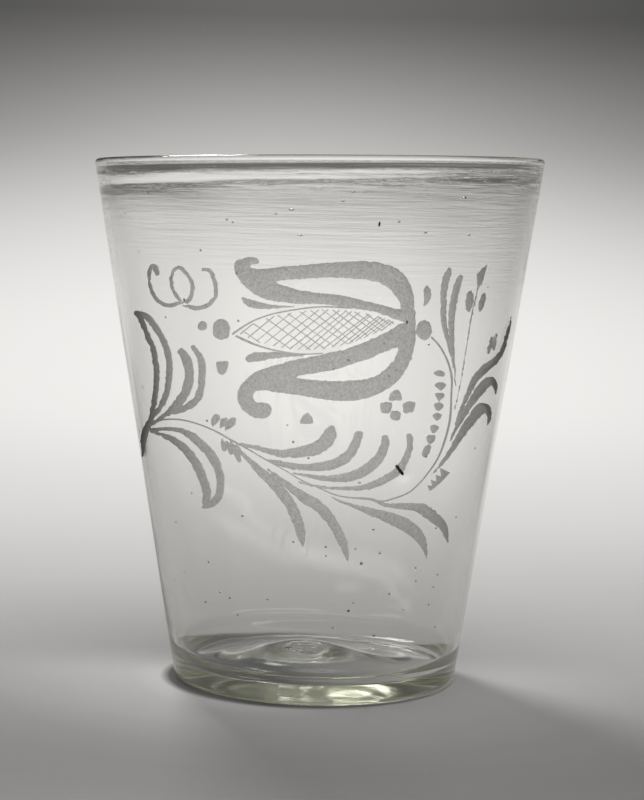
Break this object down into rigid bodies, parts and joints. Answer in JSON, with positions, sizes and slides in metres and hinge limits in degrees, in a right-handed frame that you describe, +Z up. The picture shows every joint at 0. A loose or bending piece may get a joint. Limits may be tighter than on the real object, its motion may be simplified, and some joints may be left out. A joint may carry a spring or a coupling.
{
  "type": "glass tumbler",
  "caption": "Tall hand blown drinking glass, a plain cone with a rounded rim, a thick pushed up base and a pontil scar under it.",
  "frame": {"origin": "below the middle of the rim, at the level of the surface the tumbler stands on", "axes": "+Z up to the open rim, -Y towards the engraved front, +X to the right of someone who looks at that front"},
  "size_m": [0.1365, 0.1366, 0.1615],
  "materials": {
    "clear_glass": "clear blown glass with a faint grey green tint, glossy, with wheel engraved matte ornament",
    "broken_glass": "snapped glass left as it broke, sharp and glinting"
  },
  "bodies": {
    "root": {"glass_body": "clear_glass", "pontil_scar": "broken_glass"}
  },
  "joints": []
}
